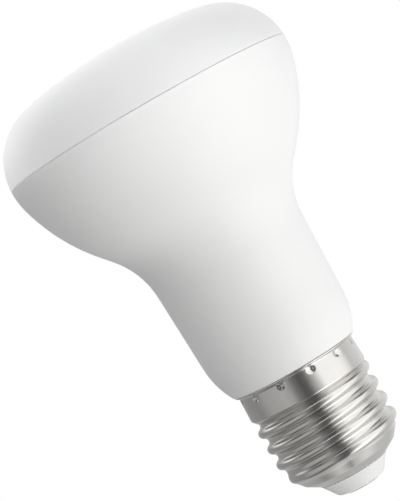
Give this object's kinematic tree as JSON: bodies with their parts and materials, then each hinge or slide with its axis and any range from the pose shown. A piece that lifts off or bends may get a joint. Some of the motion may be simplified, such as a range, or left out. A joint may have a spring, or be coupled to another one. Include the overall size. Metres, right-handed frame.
{
  "type": "reflector bulb",
  "caption": "Reflector bulb: an opal domed diffuser on a white flared housing with a straight neck, on a threaded screw cap with an insulator and a centre contact.",
  "frame": {"origin": "middle of the centre contact's outer face", "axes": "+Z along the bulb's axis from the contact to the lit face, -Y towards the picture's camera, +X to the right when the contact points down"},
  "size_m": [0.063, 0.063, 0.1007],
  "materials": {
    "opal_plastic": "satin opal",
    "white_plastic": "satin",
    "nickel": "bright nickel plate",
    "insulator_plastic": "semi-gloss",
    "contact_metal": "dull tin plate"
  },
  "bodies": {
    "root": {"diffuser": "opal_plastic", "housing": "white_plastic", "screw_cap": "nickel", "insulator": "insulator_plastic", "centre_contact": "contact_metal"}
  },
  "joints": []
}
